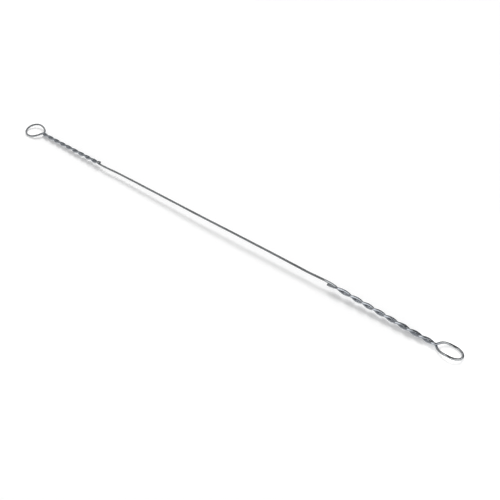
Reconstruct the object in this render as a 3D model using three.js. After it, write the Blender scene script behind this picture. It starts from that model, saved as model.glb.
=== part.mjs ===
import * as THREE from 'three';

// Hammer wire, in millimetres: one unbroken length of spring-steel wire with a loop at each end.
// Each loop is closed by winding the wire's tail and its standing part round each other.
// +X runs along the wire from the round loop to the slim loop, and +Z is up.
// The wire lies on the ground at z = 0, with the origin under its middle.

// Wire stock
const wire_diameter = 4;
const wire_sides = 12;

// Twists: both are left-handed, and a crotch is where a twist ends and its loop begins. Over the slack length
// before its tail's end, a twist may turn more and more slowly, by its own slack share in the end.
const crotch_span = 906;
const strand_gap = 0.6;
const slack_length = 60;
const steps_per_half_turn = 7;

// Slim end, at +X: its last turns are wound slacker, and its tail lies on top at the crotch
const slim_twist_length = 185.8;
const slim_half_turn = 19.7;
const slim_slack_share = 0.42;
const slim_loop_length = 36.6;
const slim_loop_width = 23.2;
const slim_loop_lean = 2.1;
const slim_widest_share = 0.57;
const slim_belly_share = 1;

// Round end, at -X: wound evenly, and its tail lies underneath at the crotch
const round_twist_length = 184;
const round_half_turn = 20.2;
const round_slack_share = 0;
const round_loop_length = 46.5;
const round_loop_width = 35.6;
const round_loop_lean = 2.1;
const round_widest_share = 0.565;
const round_belly_share = 0.89;

// Bend at a crotch: how far before it the strands begin to part, and the reach of the bend
const parting_length = 2.8;
const crotch_bend_length = 3.7;

// Tail's end: over what length before it the strands slacken, how much of its way to the axis the standing
// wire has come there, how far the tail springs out, and over what length past it the standing wire settles
const slackening_length = 20;
const settled_share = 0.5;
const tail_spring = 0.3;
const settling_length = 28;

// Set of the wire as it lies: how far its axis stands to +Y of the line between the crotches at each tail's
// end and halfway, how much of the slim twist keeps to that line, and the length of each change of course
const slim_tail_offset = 1.9;
const middle_offset = -1.5;
const round_tail_offset = -1.4;
const slim_straight_length = 45;
const set_bend_length = 30;

// Arch of the wire as it lies: how much higher its top stands than the crotches, and how far to +X it stands
const arch_height = 8.3;
const arch_top = 130;

// Steps along each curve of a loop, and along the plain wire
const flank_steps = 11;
const crown_steps = 6;
const settling_steps = 7;
const plain_steps = 20;

// Shares of a quarter ellipse's half axes at which a cubic curve's handles draw it
const quarter_ellipse_share = 0.5523;

const wire_radius = wire_diameter / 2;
const strand_radius = (wire_diameter + strand_gap) / 2;
const twist_radius = strand_radius + wire_radius;

const slim_end = {
  twist_length: slim_twist_length,
  half_turn: slim_half_turn,
  slack_share: slim_slack_share,
  loop_length: slim_loop_length,
  half_width: slim_loop_width / 2,
  lean: slim_loop_lean,
  widest_at: slim_widest_share * slim_loop_length,
  belly: slim_belly_share * slim_widest_share * slim_loop_length,
  tail_side: 1,
  heading: 1,
};

const round_end = {
  twist_length: round_twist_length,
  half_turn: round_half_turn,
  slack_share: round_slack_share,
  loop_length: round_loop_length,
  half_width: round_loop_width / 2,
  lean: round_loop_lean,
  widest_at: round_widest_share * round_loop_length,
  belly: round_belly_share * round_widest_share * round_loop_length,
  tail_side: -1,
  heading: -1,
};

// Points of one end are worked out as x outwards from the crotch, y across the loop and z out of its plane.
// The strand of side 1 is above the other at the crotch, and goes to the +y half of the loop.

// Angle that the strands have turned through at a distance from the crotch
function turned_angle(end, distance) {
  const slack = Math.max(0, distance - (end.twist_length - slack_length));
  const lost = end.slack_share * slack * slack / (2 * slack_length);
  return Math.PI * (distance - lost) / end.half_turn;
}

// Point of a strand, which stands on its own side of the axis and slackens towards the tail's end
function twist_point(end, side, distance) {
  const tight_length = end.twist_length - slackening_length;
  const slackened = THREE.MathUtils.smoothstep(distance, tight_length, end.twist_length);
  const settled = slackened * settled_share * strand_radius;
  const spring = slackened * tail_spring;
  const offset = side === end.tail_side ? strand_radius + settled + spring : strand_radius - settled;
  const angle = turned_angle(end, distance) + side * Math.PI / 2;
  return new THREE.Vector3(-distance, offset * Math.cos(angle), offset * Math.sin(angle));
}

// One strand of a twist, from where it parts from the other to the tail's end
function twist_points(end, side) {
  const steps = Math.ceil(steps_per_half_turn * end.twist_length / end.half_turn);
  const points = [];
  for (let i = 0; i <= steps; i++) {
    points.push(twist_point(end, side, THREE.MathUtils.lerp(parting_length, end.twist_length, i / steps)));
  }
  return points;
}

// The standing wire's way back to the axis, from just past the tail's end
function settling_points(end) {
  const [before, from] = twist_points(end, -end.tail_side).slice(-2);
  const reach = settling_length / 3;
  const to = new THREE.Vector3(-end.twist_length - settling_length, 0, 0);
  const curve = new THREE.CubicBezierCurve3(
    from,
    new THREE.Vector3().subVectors(from, before).setLength(reach).add(from),
    new THREE.Vector3(to.x + reach, 0, 0),
    to,
  );
  return curve.getPoints(settling_steps).slice(1);
}

// One half of a loop, from just past where the strands part to just short of the crown's middle
function loop_points(end, side) {
  const start = twist_point(end, side, parting_length);
  const slope = Math.atan2(side * Math.PI * Math.abs(start.z), end.half_turn);
  const widest = new THREE.Vector2(end.widest_at, end.lean + side * end.half_width);
  const crown = new THREE.Vector2(end.loop_length, end.lean);
  const crown_reach = quarter_ellipse_share * (end.loop_length - end.widest_at);
  const crown_spread = quarter_ellipse_share * side * end.half_width;
  const flank = new THREE.CubicBezierCurve(
    new THREE.Vector2(start.x, start.y),
    new THREE.Vector2(crotch_bend_length, 0).rotateAround(new THREE.Vector2(), slope).add(start),
    new THREE.Vector2(widest.x - end.belly, widest.y),
    widest,
  );
  const bow = new THREE.CubicBezierCurve(
    widest,
    new THREE.Vector2(widest.x + crown_reach, widest.y),
    new THREE.Vector2(crown.x, crown.y + crown_spread),
    crown,
  );
  const points = [];
  for (let i = 1; i <= flank_steps; i++) {
    const at = flank.getPoint(i / flank_steps);
    const turned = Math.PI * Math.min(0, at.x) / end.half_turn;
    const levelled = THREE.MathUtils.smoothstep(at.x, 0, end.widest_at);
    const height = side * strand_radius * Math.cos(turned) * (1 - levelled);
    points.push(new THREE.Vector3(at.x, at.y, height));
  }
  for (let i = 1; i <= crown_steps; i++) {
    const at = bow.getPoint(i / (crown_steps + 1 / 2));
    points.push(new THREE.Vector3(at.x, at.y, 0));
  }
  return points;
}

// Places along the wire where its axis changes course, and how far to +Y it stands there
const course = [
  new THREE.Vector2(-crotch_span / 2, 0),
  new THREE.Vector2(round_twist_length - crotch_span / 2, round_tail_offset),
  new THREE.Vector2(0, middle_offset),
  new THREE.Vector2(crotch_span / 2 - slim_twist_length, slim_tail_offset),
  new THREE.Vector2(crotch_span / 2 - slim_straight_length, 0),
];

// The axis' distance to +Y: straight runs from place to place, with each corner bent as a parabola
function axis_offset(x) {
  let offset = 0;
  let slope = 0;
  for (const [i, corner] of course.entries()) {
    const next = course[i + 1] ?? new THREE.Vector2(crotch_span / 2, corner.y);
    const next_slope = (next.y - corner.y) / (next.x - corner.x);
    const into_bend = THREE.MathUtils.clamp(x - corner.x + set_bend_length / 2, 0, set_bend_length);
    const past_bend = Math.max(0, x - corner.x - set_bend_length / 2);
    offset += (next_slope - slope) * (into_bend * into_bend / (2 * set_bend_length) + past_bend);
    slope = next_slope;
  }
  return offset;
}

// The axis' height over the ground: an arch that runs out flat at each crotch
function axis_height(x) {
  const reach = crotch_span / 2 - Math.sign(x - arch_top) * arch_top;
  const share = Math.min(1, Math.abs(x - arch_top) / reach);
  return twist_radius + arch_height * (1 - share ** 2) ** 1.5;
}

// A loop tips about the wire's axis by this angle, so that its wider side is as low as the twist
function tip_angle(end) {
  return Math.asin((twist_radius - wire_radius) / (end.half_width + end.lean));
}

function placed(end, points) {
  const place = new THREE.Matrix4().makeTranslation(end.heading * crotch_span / 2, 0, 0);
  if (end.heading < 0) place.multiply(new THREE.Matrix4().makeRotationZ(Math.PI));
  place.multiply(new THREE.Matrix4().makeRotationX(-tip_angle(end)));
  return points.map((point) => {
    const at = point.clone().applyMatrix4(place);
    return at.add(new THREE.Vector3(0, axis_offset(at.x), axis_height(at.x)));
  });
}

// One whole end, from the straight wire round the loop to the tail
function end_points(end) {
  const standing_side = -end.tail_side;
  return placed(end, [
    ...settling_points(end).reverse(),
    ...twist_points(end, standing_side).reverse(),
    ...loop_points(end, standing_side),
    ...loop_points(end, end.tail_side).reverse(),
    ...twist_points(end, end.tail_side),
  ]);
}

function wire_points() {
  const round = end_points(round_end).reverse();
  const slim = end_points(slim_end);
  const plain = [];
  for (let i = 1; i < plain_steps; i++) {
    const x = THREE.MathUtils.lerp(round.at(-1).x, slim[0].x, i / plain_steps);
    plain.push(new THREE.Vector3(x, axis_offset(x), axis_height(x)));
  }
  return [...round, ...plain, ...slim];
}

// Where the section's top faces: straight up, but square to a loop's plane from the loop's widest place on
function top_direction(x) {
  const end = x > 0 ? slim_end : round_end;
  const past_crotch = Math.abs(x) - crotch_span / 2;
  const turned = end.heading * tip_angle(end) * THREE.MathUtils.smoothstep(past_crotch, 0, end.widest_at);
  return new THREE.Vector3(0, Math.sin(turned), Math.cos(turned));
}

// A path whose sections stand square to it at the given points
class WirePath extends THREE.Curve {
  constructor(points) {
    super();
    this.points = points;
  }

  getPoint(share, target = new THREE.Vector3()) {
    const place = share * (this.points.length - 1);
    const i = Math.min(Math.floor(place), this.points.length - 2);
    return target.lerpVectors(this.points[i], this.points[i + 1], place - i);
  }

  getSpacedPoints() {
    return this.points;
  }

  computeFrenetFrames() {
    const last = this.points.length - 1;
    const tangents = this.points.map((point, i) => {
      const before = this.points[Math.max(0, i - 1)];
      const after = this.points[Math.min(last, i + 1)];
      return new THREE.Vector3().subVectors(after, before).normalize();
    });
    const normals = tangents.map((tangent, i) => {
      return new THREE.Vector3().crossVectors(tangent, top_direction(this.points[i].x)).normalize();
    });
    const binormals = tangents.map((tangent, i) => new THREE.Vector3().crossVectors(tangent, normals[i]));
    return { tangents, normals, binormals };
  }
}

// Round section with its corners on the wire's surface, and flats up, down and to both sides
function wire_section() {
  const corners = [];
  for (let i = 0; i < wire_sides; i++) {
    const angle = 2 * Math.PI * (i + 1 / 2) / wire_sides;
    corners.push(new THREE.Vector2(wire_radius * Math.cos(angle), wire_radius * Math.sin(angle)));
  }
  return new THREE.Shape(corners);
}

// Least clear gap between two stretches of the wire that are further apart along it than a few diameters
function least_gap(points) {
  const parts_per_step = 4;
  const apart_in_diameters = 4;
  const samples = [];
  let along = 0;
  for (let i = 1; i < points.length; i++) {
    const step = points[i].distanceTo(points[i - 1]);
    for (let j = 0; j < parts_per_step; j++) {
      const share = j / parts_per_step;
      const at = new THREE.Vector3().lerpVectors(points[i - 1], points[i], share);
      samples.push({ at, along: along + share * step });
    }
    along += step;
  }
  let least = Infinity;
  for (const [i, one] of samples.entries()) {
    for (const other of samples.slice(i + 1)) {
      if (other.along - one.along < apart_in_diameters * wire_diameter) continue;
      least = Math.min(least, one.at.distanceTo(other.at));
    }
  }
  return least - wire_diameter;
}

const points = wire_points();
const sweep = {
  steps: points.length - 1,
  extrudePath: new WirePath(points),
  bevelEnabled: false,
};
const hammer_wire = new THREE.Mesh(
  new THREE.ExtrudeGeometry(wire_section(), sweep),
  new THREE.MeshStandardMaterial({ color: 0x8f9499, roughness: 0.35, metalness: 1 }),
);
hammer_wire.name = 'hammer_wire';

const box = new THREE.Box3().setFromObject(hammer_wire);
const middle = box.getCenter(new THREE.Vector3());
hammer_wire.position.set(-middle.x, -middle.y, -box.min.z);

const wire_length = points.slice(1).reduce((sum, point, i) => sum + point.distanceTo(points[i]), 0);
const gap = least_gap(points);
console.log(`Wire length ${wire_length.toFixed(0)} mm, least gap to itself ${gap.toFixed(2)} mm`);

const part = new THREE.Group();
part.add(hammer_wire);
export default part;
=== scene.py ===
import math

import bmesh
import bpy
from mathutils import Matrix, Vector


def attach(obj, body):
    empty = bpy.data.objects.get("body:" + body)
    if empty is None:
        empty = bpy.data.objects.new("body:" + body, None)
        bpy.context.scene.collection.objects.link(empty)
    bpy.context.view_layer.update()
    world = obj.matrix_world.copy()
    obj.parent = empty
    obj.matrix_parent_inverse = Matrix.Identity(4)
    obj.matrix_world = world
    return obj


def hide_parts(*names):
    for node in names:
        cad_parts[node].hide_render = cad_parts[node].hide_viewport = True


# Hammer wire: one unbroken length of spring-steel wire with a slim loop at +X and a round loop at -X.
# Sizes are in millimetres, and each finished mesh is in metres in the part's frame.
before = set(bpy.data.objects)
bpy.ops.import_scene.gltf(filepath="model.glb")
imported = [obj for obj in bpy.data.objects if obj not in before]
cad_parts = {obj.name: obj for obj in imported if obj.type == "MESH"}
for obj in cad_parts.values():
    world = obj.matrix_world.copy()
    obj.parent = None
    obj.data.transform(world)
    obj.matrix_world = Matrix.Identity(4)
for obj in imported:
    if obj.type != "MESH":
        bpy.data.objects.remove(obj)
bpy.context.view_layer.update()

MM = 0.001

# The camera: where it stands, the place on the ground that it looks at, how far it is rolled, and its lens
CAMERA_PLACE = Vector((558.78, -483.4, 715.3))
CAMERA_AIM = Vector((122.0, -4.42, 0))
CAMERA_ROLL = math.radians(-5.595)
CAMERA_LENS = 41.1356
CAMERA_SENSOR = 36

# The wire: round, and a hair thinner than the part's own twelve-sided section is from corner to corner. The
# two strands of a twist touch, but for a hair's breadth. The wire's middle stands at the resting height where
# a loop lies on the ground, and the axis of a twist stands at its own height where the twist meets the loop.
WIRE_RADIUS = 1.985
STRAND_CLEARANCE = 0.06
STRAND_RADIUS = WIRE_RADIUS + STRAND_CLEARANCE
RESTING_HEIGHT = 2
AXIS_HEIGHT = 4.3
CROTCH_SPAN = 906

# Where the middle between the crotches lies in the part's frame
AXIS_ORIGIN = Vector((4.9363, 2.0861, -0.0101))

# The two ends. A twist has its length, the length of a half turn, and the share of its pitch that it loses at
# the tail's end. There the tail springs out and the standing wire moves in by the settled share, and past it
# the standing wire settles on the axis. A loop has its length, half its width, how far it leans to one side,
# how far out it is widest, and how full its flanks are.
SLIM_END = {
    "twist_length": 185.8, "half_turn": 19.7, "slack_share": 0.42,
    "settled_share": 0.2, "settling_length": 45,
    "loop_length": 36.40, "half_width": 11.6, "lean": 2.1, "widest_at": 20.86, "belly": 20.86,
    "tail_side": 1, "heading": 1,
}
ROUND_END = {
    "twist_length": 187, "half_turn": 20.2, "slack_share": 0,
    "settled_share": 0.55, "settling_length": 60,
    "loop_length": 46.28, "half_width": 17.76, "lean": 2.1, "widest_at": 26.27, "belly": 23.38,
    "tail_side": -1, "heading": -1,
}

# How the strands part at a crotch and bend into the loop, and over which lengths a twist loses its pitch and
# its grip at a tail's end
PARTING_LENGTH = 2.8
CROTCH_BEND = 3.7
SLACK_LENGTH = 60
SLACKENING_LENGTH = 20

# How the wire lies: its places of bend, seen from above, and its arch over the ground, whose feet run out
# level where its flattening is over 1
COURSE = [(-453, 0), (-269, -1.4), (0, -1.5), (267.2, 1.9), (408, 0), (453, 0)]
SET_BEND = 30
ARCH_HEIGHT = 8.22
ARCH_TOP = 130
ARCH_FLATTENING = 1.5

# Wear: how far past the crotch a loop is fully polished by handling, and how far short of the crown's tip its
# inside is fully rubbed by the fitting
HANDLED_FROM = 6
RUBBED_FROM = 2

# Points along the wire, sides round it, and the reach of a quarter ellipse's two inner corners
STEPS_PER_HALF_TURN = 24
FLANK_STEPS = 40
CROWN_STEPS = 24
SETTLING_STEPS = 20
PLAIN_STEPS = 60
SIDES = 32
QUARTER_ELLIPSE = 0.5523


def linear(hex_colour):
    """An sRGB colour such as "8f9499" as linear red, green, blue and a full alpha."""
    parts = [int(hex_colour[i:i + 2], 16) / 255 for i in (0, 2, 4)]
    return [c / 12.92 if c <= 0.04045 else ((c + 0.055) / 1.055) ** 2.4 for c in parts] + [1]


WHITE = linear("ffffff")


def smoothstep(x, low, high):
    """From 0 at low to 1 at high, level at both."""
    share = min(1, max(0, (x - low) / (high - low)))
    return share * share * (3 - 2 * share)


def cubic(corners, share):
    """A point of the cubic curve that four corners give."""
    left = 1 - share
    weights = (left ** 3, 3 * left ** 2 * share, 3 * left * share ** 2, share ** 3)
    return sum((corner * weight for corner, weight in zip(corners, weights)), Vector((0, 0, 0)))


def add_node(tree, kind, inputs=None, **settings):
    """A new node with its settings, and its inputs as values or as other nodes' output sockets."""
    node = tree.nodes.new(kind)
    for name, value in settings.items():
        setattr(node, name, value)
    for key, value in (inputs or {}).items():
        named = [s for s in node.inputs if s.identifier == key] or [s for s in node.inputs if s.name == key]
        if isinstance(value, bpy.types.NodeSocket):
            tree.links.new(value, named[0])
        else:
            named[0].default_value = value
    return node


def out(node, key=None):
    """An output socket of a node: its first one, or the one with this identifier or name."""
    if key is None:
        return node.outputs[0]
    return next(s for s in node.outputs if key in (s.identifier, s.name))


def empty_tree(owner):
    """The node tree of a material or world, with nothing in it."""
    owner.use_nodes = True
    owner.node_tree.nodes.clear()
    return owner.node_tree


def scene_object(name, data):
    """A new object in the scene, at the origin."""
    piece = bpy.data.objects.new(name, data)
    bpy.context.scene.collection.objects.link(piece)
    return piece


# The wire's path

def slackened(end, distance):
    """From 0 where a twist is tight to 1 at its tail's end."""
    return smoothstep(distance, end["twist_length"] - SLACKENING_LENGTH, end["twist_length"])


def twist_point(end, side, distance):
    """A strand's point, with x outwards from the crotch, y across the loop and z out of its plane."""
    slack = max(0, distance - (end["twist_length"] - SLACK_LENGTH))
    lost = end["slack_share"] * slack * slack / (2 * SLACK_LENGTH)
    angle = math.pi * (distance - lost) / end["half_turn"] + side * math.pi / 2
    settled = slackened(end, distance) * end["settled_share"]
    offset = STRAND_RADIUS * (1 + settled if side == end["tail_side"] else 1 - settled)
    return Vector((-distance, offset * math.cos(angle), offset * math.sin(angle)))


def twist_points(end, side):
    """One strand, from where the two part to the tail's end, each point with how hard it is pressed."""
    steps = math.ceil(STEPS_PER_HALF_TURN * end["twist_length"] / end["half_turn"])
    points = []
    for i in range(steps + 1):
        distance = PARTING_LENGTH + (end["twist_length"] - PARTING_LENGTH) * i / steps
        points.append((twist_point(end, side, distance), 1 - slackened(end, distance)))
    return points


def settling_points(end):
    """The standing wire's way back to the axis, from just past the tail's end."""
    (before, _), (start, _) = twist_points(end, -end["tail_side"])[-2:]
    reach = end["settling_length"] / 3
    stop = Vector((-end["twist_length"] - end["settling_length"], 0, 0))
    corners = [start, start + (start - before).normalized() * reach, stop + Vector((reach, 0, 0)), stop]
    return [(cubic(corners, i / SETTLING_STEPS), 0) for i in range(1, SETTLING_STEPS + 1)]


def loop_points(end, side):
    """One half of a loop, from just past where the strands part to the crown."""
    start = twist_point(end, side, PARTING_LENGTH)
    slope = math.atan2(side * math.pi * abs(start.z), end["half_turn"])
    widest = Vector((end["widest_at"], end["lean"] + side * end["half_width"], 0))
    crown = Vector((end["loop_length"], end["lean"], 0))
    flank = [
        Vector((start.x, start.y, 0)),
        Vector((start.x + CROTCH_BEND * math.cos(slope), start.y + CROTCH_BEND * math.sin(slope), 0)),
        widest - Vector((end["belly"], 0, 0)),
        widest,
    ]
    bow = [
        widest,
        widest + Vector((QUARTER_ELLIPSE * (crown.x - widest.x), 0, 0)),
        crown + Vector((0, QUARTER_ELLIPSE * side * end["half_width"], 0)),
        crown,
    ]
    points = []
    for i in range(1, FLANK_STEPS + 1):
        at = cubic(flank, i / FLANK_STEPS)
        turned = math.pi * min(0, at.x) / end["half_turn"]
        at.z = side * STRAND_RADIUS * math.cos(turned) * (1 - smoothstep(at.x, 0, end["widest_at"]))
        points.append((at, 1 - smoothstep(at.x, -PARTING_LENGTH, CROTCH_BEND)))
    # The two halves of a loop stop half a step short of its tip, so that no point comes twice
    for i in range(1, CROWN_STEPS + 1):
        points.append((cubic(bow, i / (CROWN_STEPS + 1 / 2)), 0))
    return points


def axis_offset(x):
    """How far to +Y the axis stands: straight runs between the places of the course, their corners bent."""
    offset = slope = 0
    for (corner_x, corner_y), (next_x, next_y) in zip(COURSE, COURSE[1:]):
        next_slope = (next_y - corner_y) / (next_x - corner_x)
        into_bend = min(SET_BEND, max(0, x - corner_x + SET_BEND / 2))
        past_bend = max(0, x - corner_x - SET_BEND / 2)
        offset += (next_slope - slope) * (into_bend ** 2 / (2 * SET_BEND) + past_bend)
        slope = next_slope
    return offset


def axis_height(x):
    """How high the axis stands: an arch that runs out flat at each crotch."""
    reach = CROTCH_SPAN / 2 + (ARCH_TOP if x < ARCH_TOP else -ARCH_TOP)
    share = min(1, abs(x - ARCH_TOP) / reach)
    return AXIS_HEIGHT + ARCH_HEIGHT * (1 - share ** 2) ** ARCH_FLATTENING


def tip_angle(end):
    """The angle by which a loop tips about the wire's axis, until its wider side touches the ground."""
    return math.asin((AXIS_HEIGHT - RESTING_HEIGHT) / (end["half_width"] + end["lean"]))


def placed(end, points):
    """Points of an end where they lie."""
    place = Matrix.Translation((end["heading"] * CROTCH_SPAN / 2, 0, 0))
    if end["heading"] < 0:
        place = place @ Matrix.Rotation(math.pi, 4, "Z")
    place = place @ Matrix.Rotation(-tip_angle(end), 4, "X")
    laid = []
    for point, pressed in points:
        at = place @ point
        laid.append((at + Vector((0, axis_offset(at.x), axis_height(at.x))), pressed))
    return laid


def end_points(end):
    """One whole end, from the straight wire round the loop to the tail."""
    standing_side = -end["tail_side"]
    return placed(end, [
        *reversed(settling_points(end)),
        *reversed(twist_points(end, standing_side)),
        *loop_points(end, standing_side),
        *reversed(loop_points(end, end["tail_side"])),
        *twist_points(end, end["tail_side"]),
    ])


def wire_points():
    """The whole wire from tail to tail, each point with how hard it is pressed to the other strand."""
    round_points = end_points(ROUND_END)[::-1]
    slim_points = end_points(SLIM_END)
    start, stop = round_points[-1][0].x, slim_points[0][0].x
    plain = []
    for i in range(1, PLAIN_STEPS):
        x = start + (stop - start) * i / PLAIN_STEPS
        plain.append((Vector((x, axis_offset(x), axis_height(x))), 0))
    return round_points + plain + slim_points


# The wire's mesh

def drawn_wire_tree():
    """Sweeps a round wire along a row of edges, and keeps on it what its finish needs to know."""
    tree = bpy.data.node_groups.new("drawn_wire", "GeometryNodeTree")
    tree.interface.new_socket("Path", in_out="INPUT", socket_type="NodeSocketGeometry")
    tree.interface.new_socket("Wire radius", in_out="INPUT", socket_type="NodeSocketFloat")
    tree.interface.new_socket("Sides", in_out="INPUT", socket_type="NodeSocketInt")
    tree.interface.new_socket("Finish", in_out="INPUT", socket_type="NodeSocketMaterial")
    tree.interface.new_socket("Wire", in_out="OUTPUT", socket_type="NodeSocketGeometry")
    given = add_node(tree, "NodeGroupInput")
    radius = out(given, "Wire radius")

    # Distance from the first tail's end, kept along the path
    path = add_node(tree, "GeometryNodeMeshToCurve", {"Mesh": out(given, "Path")})
    length = add_node(tree, "GeometryNodeSplineParameter")
    along = add_node(tree, "GeometryNodeStoreNamedAttribute", {
        "Geometry": out(path), "Name": "along", "Value": out(length, "Length"),
    }, data_type="FLOAT", domain="POINT")

    # Place round the section, kept on the profile
    circle = add_node(tree, "GeometryNodeCurvePrimitiveCircle", {
        "Resolution": out(given, "Sides"), "Radius": radius,
    })
    place = add_node(tree, "GeometryNodeInputPosition")
    rim = add_node(tree, "GeometryNodeStoreNamedAttribute", {
        "Geometry": out(circle), "Name": "rim", "Value": out(place),
    }, data_type="FLOAT_VECTOR", domain="POINT")
    swept = add_node(tree, "GeometryNodeCurveToMesh", {
        "Curve": out(along), "Profile Curve": out(rim), "Fill Caps": True,
    })

    # The unwound place: across the section in x and y, and along the wire in z
    rim_place = add_node(tree, "GeometryNodeInputNamedAttribute", {
        "Name": "rim",
    }, data_type="FLOAT_VECTOR")
    rim_parts = add_node(tree, "ShaderNodeSeparateXYZ", {"Vector": out(rim_place)})
    run = add_node(tree, "GeometryNodeInputNamedAttribute", {"Name": "along"}, data_type="FLOAT")
    unwound = add_node(tree, "ShaderNodeCombineXYZ", {
        "X": out(rim_parts, "X"), "Y": out(rim_parts, "Y"), "Z": out(run),
    })
    kept = add_node(tree, "GeometryNodeStoreNamedAttribute", {
        "Geometry": out(swept), "Name": "unwound", "Value": out(unwound),
    }, data_type="FLOAT_VECTOR", domain="POINT")

    # The crease where the strands touch: 1 on the twist's axis and 0 a wire's radius away from it. The finish
    # paints residue and painted shade along it.
    axis = add_node(tree, "GeometryNodeInputNamedAttribute", {
        "Name": "axis_point",
    }, data_type="FLOAT_VECTOR")
    away = add_node(tree, "ShaderNodeVectorMath", {
        "Vector": out(place), "Vector_001": out(axis),
    }, operation="DISTANCE")
    share = add_node(tree, "ShaderNodeMath", {
        "Value": out(away, "Value"), "Value_001": radius,
    }, operation="DIVIDE")
    near = add_node(tree, "ShaderNodeMath", {
        "Value": 1.0, "Value_001": out(share),
    }, operation="SUBTRACT", use_clamp=True)
    pressed = add_node(tree, "GeometryNodeInputNamedAttribute", {"Name": "pressed"}, data_type="FLOAT")
    crease_share = add_node(tree, "ShaderNodeMath", {
        "Value": out(near), "Value_001": out(pressed),
    }, operation="MULTIPLY")
    crease = add_node(tree, "GeometryNodeStoreNamedAttribute", {
        "Geometry": out(kept), "Name": "crease", "Value": out(crease_share),
    }, data_type="FLOAT", domain="POINT")

    # The inside of a crown, which faces the middle of its loop and which the fittings rub
    middle = add_node(tree, "GeometryNodeInputNamedAttribute", {
        "Name": "loop_middle",
    }, data_type="FLOAT_VECTOR")
    inwards = add_node(tree, "ShaderNodeVectorMath", {
        "Vector": out(middle), "Vector_001": out(place),
    }, operation="SUBTRACT")
    heading = add_node(tree, "ShaderNodeVectorMath", {"Vector": out(inwards)}, operation="NORMALIZE")
    facing = add_node(tree, "GeometryNodeInputNormal")
    faced = add_node(tree, "ShaderNodeVectorMath", {
        "Vector": out(heading), "Vector_001": out(facing),
    }, operation="DOT_PRODUCT")
    bearing = add_node(tree, "GeometryNodeInputNamedAttribute", {"Name": "bearing"}, data_type="FLOAT")
    rubbed_share = add_node(tree, "ShaderNodeMath", {
        "Value": out(faced, "Value"), "Value_001": out(bearing),
    }, operation="MULTIPLY", use_clamp=True)
    rubbed = add_node(tree, "GeometryNodeStoreNamedAttribute", {
        "Geometry": out(crease), "Name": "rubbed", "Value": out(rubbed_share),
    }, data_type="FLOAT", domain="POINT")

    real = add_node(tree, "GeometryNodeRealizeInstances", {"Geometry": out(rubbed)})
    finished = add_node(tree, "GeometryNodeSetMaterial", {
        "Geometry": out(real), "Material": out(given, "Finish"),
    })
    add_node(tree, "NodeGroupOutput", {"Wire": out(finished)})
    return tree


def path_object(points):
    """The wire's path as a row of edges, with what the sweep needs to know at each point."""
    mesh = bpy.data.meshes.new("wire_path")
    places = [(point + AXIS_ORIGIN) * MM for point, _ in points]
    mesh.from_pydata(places, [(i, i + 1) for i in range(len(places) - 1)], [])
    pressed, handled, bearing, axis_points, middles = [], [], [], [], []
    for point, press in points:
        end = SLIM_END if point.x > 0 else ROUND_END
        heading = end["heading"]
        past_crotch = abs(point.x) - CROTCH_SPAN / 2
        axis = Vector((point.x, axis_offset(point.x), axis_height(point.x)))
        middle_x = heading * (CROTCH_SPAN / 2 + end["widest_at"])
        middle = Vector((middle_x, heading * end["lean"], RESTING_HEIGHT))
        pressed.append(press)
        handled.append(smoothstep(past_crotch, 0, HANDLED_FROM))
        bearing.append(smoothstep(past_crotch, end["widest_at"], end["loop_length"] - RUBBED_FROM))
        axis_points.extend((axis + AXIS_ORIGIN) * MM)
        middles.extend((middle + AXIS_ORIGIN) * MM)
    for name, values in (("pressed", pressed), ("handled", handled), ("bearing", bearing)):
        mesh.attributes.new(name, "FLOAT", "POINT").data.foreach_set("value", values)
    for name, values in (("axis_point", axis_points), ("loop_middle", middles)):
        mesh.attributes.new(name, "FLOAT_VECTOR", "POINT").data.foreach_set("vector", values)
    return scene_object("wire_path", mesh)


def swept_wire(host, finish):
    """The swept wire as a plain mesh."""
    tree = drawn_wire_tree()
    sweep = host.modifiers.new("drawn_wire", "NODES")
    sweep.node_group = tree
    inputs = [item for item in tree.interface.items_tree if item.in_out == "INPUT"]
    sockets = {item.name: item.identifier for item in inputs}
    sweep[sockets["Wire radius"]] = WIRE_RADIUS * MM
    sweep[sockets["Sides"]] = SIDES
    sweep[sockets["Finish"]] = finish
    depsgraph = bpy.context.evaluated_depsgraph_get()
    mesh = bpy.data.meshes.new_from_object(host.evaluated_get(depsgraph))
    bpy.data.objects.remove(host)
    return mesh


# How the cutters left a wire's end: the slant of its face across the wire, the direction that the blades were
# held in, and the width and height of the nipped rim
CUT_SLANT = 0.12
BLADE_DIRECTION = Vector((0.3, 0.2, 1))
CUT_RIM = 0.22
CUT_RIM_DEPTH = 0.16


def cut_ends(mesh, cut_finish):
    """Gives each end of the wire its slanted cut face with a nipped rim."""
    mesh.materials.append(cut_finish)
    shape = bmesh.new()
    shape.from_mesh(mesh)
    for face in shape.faces:
        face.smooth = True
    # The caps are the only faces with more than four corners
    caps = [face for face in shape.faces if len(face.verts) > 4]
    for cap in caps:
        middle, outwards = cap.calc_center_median(), cap.normal.copy()
        across = outwards.cross(BLADE_DIRECTION).normalized()
        for corner in cap.verts:
            corner.co += outwards * (corner.co - middle).dot(across) * CUT_SLANT
        cap.normal_update()
        rim = bmesh.ops.inset_individual(
            shape, faces=[cap], thickness=CUT_RIM * MM, depth=CUT_RIM_DEPTH * MM, use_even_offset=True,
        )["faces"]
        for face in [cap, *rim]:
            face.material_index = 1
            face.smooth = False
    bmesh.ops.recalc_face_normals(shape, faces=shape.faces)
    shape.to_mesh(mesh)
    shape.free()


# Finishes

# Colours of the drawn wire: between and on the die's lines, where its brightness drifts down, in the twists,
# on the loops, of the residue with painted shade in the creases, and of the rub marks
DIE_LINE_DARK = "9a9da0"
DIE_LINE_LIGHT = "b6b9bb"
DRIFTED = "8c8e90"
TWIST_TINT = "b0b5bd"
POLISHED = "bcbfc1"
# The creases' dark colour stands for residue and painted shade together
RESIDUE_AND_SHADE = "26241f"
RUB_MARK = "d0d2d3"

# The sizes of the patterns in millimetres, across the wire and along it
DIE_LINE_SIZE = (0.35, 70)
DRIFT_SIZE = (3, 45)
RUB_MARK_SIZE = (0.6, 3.5)

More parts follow.
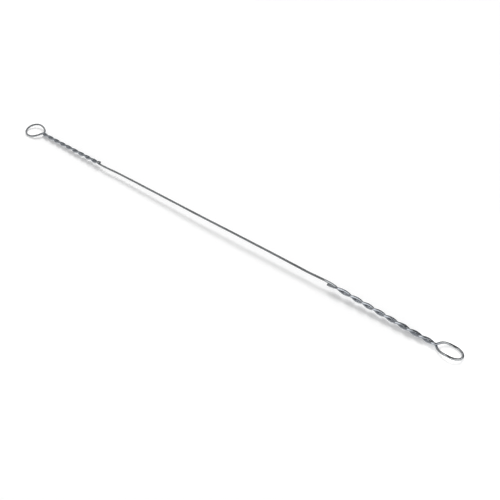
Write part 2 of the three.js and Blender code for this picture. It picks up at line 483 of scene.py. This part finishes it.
# Between which values of its pattern each of them comes in
DRIFT_SPAN = (0.35, 0.65)
RUB_MARK_SPAN = (0.56, 0.72)
CREASE_SPAN = (0.3, 0.8)
RESIDUE_AND_SHADE_EDGE_SPAN = (0.3, 0.6)
SHEEN_SPAN = (0.3, 0.7)

# How much of each is there at the most, and of the residue and painted shade where it is broken up the most
DRIFTED_SHARE = 0.8
TWIST_TINT_SHARE = 0.6
POLISHED_SHARE = 0.45
RUBBED_SHARE = 0.85
RUBBED_EVERYWHERE = 0.05
BROKEN_RESIDUE_AND_SHADE = 0.8

# The roughness where the wire is clean, from the smoothest to the roughest line, and what residue adds
SMOOTHEST = 0.1
ROUGHEST = 0.16
RESIDUE_ROUGHNESS = 0.3

# The relief: how deep rub marks lie against the die's lines, how much of it shows, and its height
RUB_MARK_RELIEF = -0.1
RELIEF_STRENGTH = 0.4
RELIEF_HEIGHT = 0.03

# The sheared ends: the size, colours and roughness of their grain, how much of its relief shows, and the
# relief's height
GRAIN_SIZE = 0.25
GRAIN_DARK = "5a5b5c"
GRAIN_LIGHT = "a3a5a6"
GRAIN_SPAN = (0.3, 0.7)
GRAIN_SMOOTHEST = 0.38
GRAIN_ROUGHEST = 0.6
GRAIN_STRENGTH = 0.6
GRAIN_HEIGHT = 0.06


def pattern_scale(across, along):
    """The scale of a pattern with this size in millimetres, across the wire and along it."""
    return (1 / (across * MM), 1 / (across * MM), 1 / (along * MM))


def drawn_steel():
    """High-carbon spring-steel wire, patented and cold drawn bright.

    A grey metal with a tight, slightly soft sheen. The die leaves fine lines along it, which make the sheen
    uneven from one side to the other, and its brightness drifts slowly along the wire. The creases of the
    twists are painted dark: partly drawing soap and dirt that stay there, partly painted shade. Hands
    polish the loops, and the fittings rub the insides of their crowns bright.
    """
    material = bpy.data.materials.new("bright_drawn_spring_steel")
    tree = empty_tree(material)
    unwound = add_node(tree, "ShaderNodeAttribute", attribute_name="unwound")
    crease = add_node(tree, "ShaderNodeAttribute", attribute_name="crease")
    rubbed = add_node(tree, "ShaderNodeAttribute", attribute_name="rubbed")
    pressed = add_node(tree, "ShaderNodeAttribute", attribute_name="pressed")
    handled = add_node(tree, "ShaderNodeAttribute", attribute_name="handled")

    # Die lines: a real one is some hundredths of a millimetre wide, and these are drawn 0.35 mm wide, so that
    # they show
    die_place = add_node(tree, "ShaderNodeMapping", {
        "Vector": out(unwound, "Vector"), "Scale": pattern_scale(*DIE_LINE_SIZE),
    })
    die_lines = add_node(tree, "ShaderNodeTexNoise", {
        "Vector": out(die_place), "Scale": 1.0, "Detail": 3.0, "Roughness": 0.6,
    })

    # Slow drift of the brightness, over some 45 mm along the wire and half of its way round
    drift_place = add_node(tree, "ShaderNodeMapping", {
        "Vector": out(unwound, "Vector"), "Scale": pattern_scale(*DRIFT_SIZE),
    })
    drift = add_node(tree, "ShaderNodeTexNoise", {
        "Vector": out(drift_place), "Scale": 1.0, "Detail": 2.0, "Roughness": 0.5,
    })

    # Rub marks of handling and winding, 0.6 mm across and a few millimetres long
    rub_place = add_node(tree, "ShaderNodeMapping", {
        "Vector": out(unwound, "Vector"), "Scale": pattern_scale(*RUB_MARK_SIZE),
    })
    rub_noise = add_node(tree, "ShaderNodeTexNoise", {
        "Vector": out(rub_place), "Scale": 1.0, "Detail": 4.0, "Roughness": 0.7,
    })
    rub_marks = add_node(tree, "ShaderNodeMapRange", {
        "Value": out(rub_noise, "Fac"), "From Min": RUB_MARK_SPAN[0], "From Max": RUB_MARK_SPAN[1],
        "To Min": 0.0, "To Max": 1.0,
    })

    lined = add_node(tree, "ShaderNodeMix", {
        "Factor_Float": out(die_lines, "Fac"),
        "A_Color": linear(DIE_LINE_DARK), "B_Color": linear(DIE_LINE_LIGHT),
    }, data_type="RGBA")
    drift_share = add_node(tree, "ShaderNodeMapRange", {
        "Value": out(drift, "Fac"), "From Min": DRIFT_SPAN[0], "From Max": DRIFT_SPAN[1],
        "To Min": 0.0, "To Max": DRIFTED_SHARE,
    })
    drifted = add_node(tree, "ShaderNodeMix", {
        "Factor_Float": out(drift_share),
        "A_Color": out(lined, "Result_Color"), "B_Color": linear(DRIFTED),
    }, data_type="RGBA")

    # The twists are a little lighter and cooler
    tinted_share = add_node(tree, "ShaderNodeMath", {
        "Value": out(pressed, "Fac"), "Value_001": TWIST_TINT_SHARE,
    }, operation="MULTIPLY", use_clamp=True)
    tinted = add_node(tree, "ShaderNodeMix", {
        "Factor_Float": out(tinted_share),
        "A_Color": out(drifted, "Result_Color"), "B_Color": linear(TWIST_TINT),
    }, data_type="RGBA")

    # The loops are polished by handling
    handled_share = add_node(tree, "ShaderNodeMath", {
        "Value": out(handled, "Fac"), "Value_001": POLISHED_SHARE,
    }, operation="MULTIPLY", use_clamp=True)
    polished = add_node(tree, "ShaderNodeMix", {
        "Factor_Float": out(handled_share),
        "A_Color": out(tinted, "Result_Color"), "B_Color": linear(POLISHED),
    }, data_type="RGBA")

    # Residue and painted shade in the creases of the twists, one dark colour, broken up by the rub marks'
    # noise
    residue_and_shade_edge = add_node(tree, "ShaderNodeMapRange", {
        "Value": out(rub_noise, "Fac"), "From Min": RESIDUE_AND_SHADE_EDGE_SPAN[0], "From Max": RESIDUE_AND_SHADE_EDGE_SPAN[1],
        "To Min": BROKEN_RESIDUE_AND_SHADE, "To Max": 1.0,
    })
    residue_and_shade_mask = add_node(tree, "ShaderNodeMapRange", {
        "Value": out(crease, "Fac"), "From Min": CREASE_SPAN[0], "From Max": CREASE_SPAN[1],
        "To Min": 0.0, "To Max": 1.0,
    }, interpolation_type="SMOOTHSTEP")
    residue_and_shade_share = add_node(tree, "ShaderNodeMath", {
        "Value": out(residue_and_shade_mask), "Value_001": out(residue_and_shade_edge),
    }, operation="MULTIPLY", use_clamp=True)
    with_residue_and_shade = add_node(tree, "ShaderNodeMix", {
        "Factor_Float": out(residue_and_shade_share),
        "A_Color": out(polished, "Result_Color"), "B_Color": linear(RESIDUE_AND_SHADE),
    }, data_type="RGBA")

    # Bright rub marks, most of all inside the crowns
    rub_share = add_node(tree, "ShaderNodeMath", {
        "Value": out(rubbed, "Fac"), "Value_001": RUBBED_SHARE, "Value_002": RUBBED_EVERYWHERE,
    }, operation="MULTIPLY_ADD")
    bright_share = add_node(tree, "ShaderNodeMath", {
        "Value": out(rub_marks), "Value_001": out(rub_share),
    }, operation="MULTIPLY", use_clamp=True)
    coloured = add_node(tree, "ShaderNodeMix", {
        "Factor_Float": out(bright_share),
        "A_Color": out(with_residue_and_shade, "Result_Color"), "B_Color": linear(RUB_MARK),
    }, data_type="RGBA")

    sheen = add_node(tree, "ShaderNodeMapRange", {
        "Value": out(die_lines, "Fac"), "From Min": SHEEN_SPAN[0], "From Max": SHEEN_SPAN[1],
        "To Min": SMOOTHEST, "To Max": ROUGHEST,
    })
    dulled = add_node(tree, "ShaderNodeMath", {
        "Value": out(residue_and_shade_share), "Value_001": RESIDUE_ROUGHNESS, "Value_002": out(sheen),
    }, operation="MULTIPLY_ADD", use_clamp=True)
    relief = add_node(tree, "ShaderNodeMath", {
        "Value": out(rub_marks), "Value_001": RUB_MARK_RELIEF, "Value_002": out(die_lines, "Fac"),
    }, operation="MULTIPLY_ADD")
    bump = add_node(tree, "ShaderNodeBump", {
        "Height": out(relief), "Strength": RELIEF_STRENGTH, "Distance": RELIEF_HEIGHT * MM,
    })
    metal = add_node(tree, "ShaderNodeBsdfPrincipled", {
        "Base Color": out(coloured, "Result_Color"), "Metallic": 1.0, "Roughness": out(dulled),
        "Normal": out(bump),
    })
    add_node(tree, "ShaderNodeOutputMaterial", {"Surface": out(metal)})
    return material


def sheared_steel():
    """The same steel where cutters sheared it: a rough, grainy break that has no sheen."""
    material = bpy.data.materials.new("sheared_spring_steel")
    tree = empty_tree(material)
    place = add_node(tree, "ShaderNodeTexCoord")

    # Grain of the break: real grain is under 0.05 mm, and this is drawn at 0.25 mm, so that it shows
    grain = add_node(tree, "ShaderNodeTexNoise", {
        "Vector": out(place, "Object"), "Scale": 1 / (GRAIN_SIZE * MM), "Detail": 3.0, "Roughness": 0.65,
    })
    colour = add_node(tree, "ShaderNodeMix", {
        "Factor_Float": out(grain, "Fac"), "A_Color": linear(GRAIN_DARK), "B_Color": linear(GRAIN_LIGHT),
    }, data_type="RGBA")
    roughness = add_node(tree, "ShaderNodeMapRange", {
        "Value": out(grain, "Fac"), "From Min": GRAIN_SPAN[0], "From Max": GRAIN_SPAN[1],
        "To Min": GRAIN_SMOOTHEST, "To Max": GRAIN_ROUGHEST,
    })
    bump = add_node(tree, "ShaderNodeBump", {
        "Height": out(grain, "Fac"), "Strength": GRAIN_STRENGTH, "Distance": GRAIN_HEIGHT * MM,
    })
    metal = add_node(tree, "ShaderNodeBsdfPrincipled", {
        "Base Color": out(colour, "Result_Color"), "Metallic": 1.0, "Roughness": out(roughness),
        "Normal": out(bump),
    })
    add_node(tree, "ShaderNodeOutputMaterial", {"Surface": out(metal)})
    return material


# The studio

# The key light: soft, from behind and a little to the left, at the height that the shadow's width gives. The
# fill comes evenly from all sides.
KEY_DIRECTION = Vector((-0.349, 0.637, 0.687))
KEY_DISTANCE = 3
KEY_ACROSS = math.radians(28)
KEY_STRENGTH = 1.95
FILL_LEVEL = 0.53

# What the metal mirrors of the studio: the brightness of its walls, of its ceiling on the left and on the
# right, and of what is added at the back on the left. The spans say how far up, along X and along Y a
# direction of length 1 points where each of them begins and ends.
WALLS_LEVEL = 0.34
CEILING_LEFT = 0.42
CEILING_RIGHT = 0.13
BACK_LEVEL = 0.22
WALLS_SPAN = (0.05, 0.35)
CEILING_SPAN = (-1.0, 0.3)
LEFT_SPAN = (-0.5, -0.15)
BACK_SPAN = (-0.1, 0.4)

# Cards over the wire, which only the metal shows: the height of each, its brightness, and its outline seen
# from above. The last one is a dark flag close over the slim loop.
CARDS = {
    "long_softbox": (
        400, 2.0, [(200, -150), (520, -150), (670, -450), (830, -900), (1050, -1500), (200, -1500)],
    ),
    "softbox_fringe": (400, 1.3, [(200, 100), (280, 40), (350, -70), (470, -150), (200, -150)]),
    "right_softbox": (400, 1.5, [(660, 500), (1500, 500), (1500, -700), (660, -700)]),
    "left_card": (400, 1.0, [(-960, 250), (-790, 250), (-790, 40), (-960, 40)]),
    "small_card": (400, 2.4, [(-110, 330), (10, 330), (10, 200), (-110, 200)]),
    "flag": (80, 0.12, [(460, 35), (494, 35), (500, -60), (494, -300), (446, -300), (446, -40)]),
}

# The floor: its paint, its width in metres, and how much of the white background it has of itself, besides
# what the lamps give it. It has more under the two loops: painted light, which makes their shadows faint.
# The spans say between which metres along X that comes in.
FLOOR_PAINT = "f4f4f4"
FLOOR_WIDTH = 12
FLOOR_GLOW = 0.15
SLIM_LOOP_GLOW = 0.32
SLIM_LOOP_SPAN = (0.42, 0.465)
ROUND_LOOP_GLOW = 0.14
ROUND_LOOP_SPAN = (-0.47, -0.44)


def seen_as_background(tree):
    """1 for rays that show the background: from the camera, off metal and through glass."""
    ray = add_node(tree, "ShaderNodeLightPath")
    seen = add_node(tree, "ShaderNodeMath", {
        "Value": out(ray, "Is Camera Ray"), "Value_001": out(ray, "Is Glossy Ray"),
    }, operation="ADD", use_clamp=True)
    return out(add_node(tree, "ShaderNodeMath", {
        "Value": out(seen), "Value_001": out(ray, "Is Transmission Ray"),
    }, operation="ADD", use_clamp=True))


def studio_floor():
    """A plain white floor that keeps the wire's shadow."""
    material = bpy.data.materials.new("white_studio_floor")
    tree = empty_tree(material)
    paint = add_node(tree, "ShaderNodeBsdfDiffuse", {"Color": linear(FLOOR_PAINT)})
    place = add_node(tree, "ShaderNodeTexCoord")
    parts = add_node(tree, "ShaderNodeSeparateXYZ", {"Vector": out(place, "Object")})
    # More glow under the two loops: painted light that fades the loops' shadows
    slim_loop = add_node(tree, "ShaderNodeMapRange", {
        "Value": out(parts, "X"), "From Min": SLIM_LOOP_SPAN[0], "From Max": SLIM_LOOP_SPAN[1],
        "To Min": FLOOR_GLOW, "To Max": FLOOR_GLOW + SLIM_LOOP_GLOW,
    }, interpolation_type="SMOOTHSTEP")
    round_loop = add_node(tree, "ShaderNodeMapRange", {
        "Value": out(parts, "X"), "From Min": ROUND_LOOP_SPAN[0], "From Max": ROUND_LOOP_SPAN[1],
        "To Min": ROUND_LOOP_GLOW, "To Max": 0.0,
    }, interpolation_type="SMOOTHSTEP")
    glow_level = add_node(tree, "ShaderNodeMath", {
        "Value": out(slim_loop), "Value_001": out(round_loop),
    }, operation="ADD")
    glow_strength = add_node(tree, "ShaderNodeMath", {
        "Value": seen_as_background(tree), "Value_001": out(glow_level),
    }, operation="MULTIPLY")
    glow = add_node(tree, "ShaderNodeEmission", {"Color": WHITE, "Strength": out(glow_strength)})
    both = add_node(tree, "ShaderNodeAddShader", {"Shader": out(paint), "Shader_001": out(glow)})
    add_node(tree, "ShaderNodeOutputMaterial", {"Surface": out(both)})

    half = FLOOR_WIDTH / 2
    corners = [(-half, -half, 0), (half, -half, 0), (half, half, 0), (-half, half, 0)]
    mesh = bpy.data.meshes.new("floor")
    mesh.from_pydata(corners, [], [(0, 1, 2, 3)])
    mesh.materials.append(material)
    scene_object("floor", mesh)


def studio_cards():
    """The cards, which show only in the metal and light nothing else."""
    for name, (height, level, outline) in CARDS.items():
        material = bpy.data.materials.new(name)
        tree = empty_tree(material)
        light = add_node(tree, "ShaderNodeEmission", {"Color": WHITE, "Strength": level})
        add_node(tree, "ShaderNodeOutputMaterial", {"Surface": out(light)})
        mesh = bpy.data.meshes.new(name)
        mesh.from_pydata([Vector((x, y, height)) * MM for x, y in outline], [], [range(len(outline))])
        mesh.materials.append(material)
        card = scene_object(name, mesh)
        card.visible_camera = False
        card.visible_diffuse = False
        card.visible_shadow = False


def studio_light():
    """One soft key lamp from behind, an even fill, and the walls and ceiling that the metal mirrors."""
    world = bpy.data.worlds.new("studio")
    tree = empty_tree(world)
    fill = add_node(tree, "ShaderNodeBackground", {"Color": WHITE, "Strength": FILL_LEVEL})
    direction = add_node(tree, "ShaderNodeTexCoord")
    parts = add_node(tree, "ShaderNodeSeparateXYZ", {"Vector": out(direction, "Generated")})
    walls_light = add_node(tree, "ShaderNodeMapRange", {
        "Value": out(parts, "Z"), "From Min": WALLS_SPAN[0], "From Max": WALLS_SPAN[1],
        "To Min": WALLS_LEVEL, "To Max": 0.0,
    }, interpolation_type="SMOOTHSTEP")
    ceiling = add_node(tree, "ShaderNodeMapRange", {
        "Value": out(parts, "X"), "From Min": CEILING_SPAN[0], "From Max": CEILING_SPAN[1],
        "To Min": CEILING_LEFT, "To Max": CEILING_RIGHT,
    })
    above = add_node(tree, "ShaderNodeMath", {
        "Value": out(walls_light), "Value_001": out(ceiling),
    }, operation="MAXIMUM")
    back_level = add_node(tree, "ShaderNodeMapRange", {
        "Value": out(parts, "X"), "From Min": LEFT_SPAN[0], "From Max": LEFT_SPAN[1],
        "To Min": BACK_LEVEL, "To Max": 0.0,
    })
    back = add_node(tree, "ShaderNodeMapRange", {
        "Value": out(parts, "Y"), "From Min": BACK_SPAN[0], "From Max": BACK_SPAN[1],
        "To Min": 0.0, "To Max": out(back_level),
    }, interpolation_type="SMOOTHSTEP")
    lit = add_node(tree, "ShaderNodeMath", {"Value": out(above), "Value_001": out(back)}, operation="ADD")
    studio = add_node(tree, "ShaderNodeBackground", {"Color": WHITE, "Strength": out(lit)})
    white = add_node(tree, "ShaderNodeBackground", {"Color": WHITE, "Strength": 1.0})
    ray = add_node(tree, "ShaderNodeLightPath")
    mirrored = add_node(tree, "ShaderNodeMixShader", {
        "Fac": out(ray, "Is Glossy Ray"), "Shader": out(white), "Shader_001": out(studio),
    })
    shown = add_node(tree, "ShaderNodeMixShader", {
        "Fac": seen_as_background(tree), "Shader": out(fill), "Shader_001": out(mirrored),
    })
    add_node(tree, "ShaderNodeOutputWorld", {"Surface": out(shown)})
    bpy.context.scene.world = world

    key = bpy.data.lights.new("key", "SUN")
    key.energy = KEY_STRENGTH
    key.angle = KEY_ACROSS
    lamp = scene_object("key", key)
    lamp.rotation_euler = KEY_DIRECTION.to_track_quat("Z", "Y").to_euler()
    lamp.location = KEY_DIRECTION * KEY_DISTANCE
    lamp.visible_glossy = False


def aim_camera():
    """The photograph's view."""
    camera = bpy.data.cameras.new("camera")
    camera.lens = CAMERA_LENS
    camera.sensor_width = CAMERA_SENSOR
    camera.sensor_fit = "HORIZONTAL"
    ahead = (CAMERA_AIM - CAMERA_PLACE).normalized()
    level_right = ahead.cross(Vector((0, 0, 1))).normalized()
    level_up = level_right.cross(ahead)
    right = level_right * math.cos(CAMERA_ROLL) + level_up * math.sin(CAMERA_ROLL)
    up = right.cross(ahead)
    turned = Matrix((right, up, -ahead)).transposed().to_4x4()
    holder = scene_object("camera", camera)
    holder.matrix_world = Matrix.Translation(CAMERA_PLACE * MM) @ turned
    bpy.context.scene.camera = holder


aim_camera()
studio_light()
studio_floor()
studio_cards()

wire_mesh = swept_wire(path_object(wire_points()), drawn_steel())
cut_ends(wire_mesh, sheared_steel())
wire_mesh.name = "wound_wire"
wire = scene_object("wound_wire", wire_mesh)
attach(wire, "root")
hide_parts("hammer_wire")

bpy.context.scene.view_settings.view_transform = "Standard"
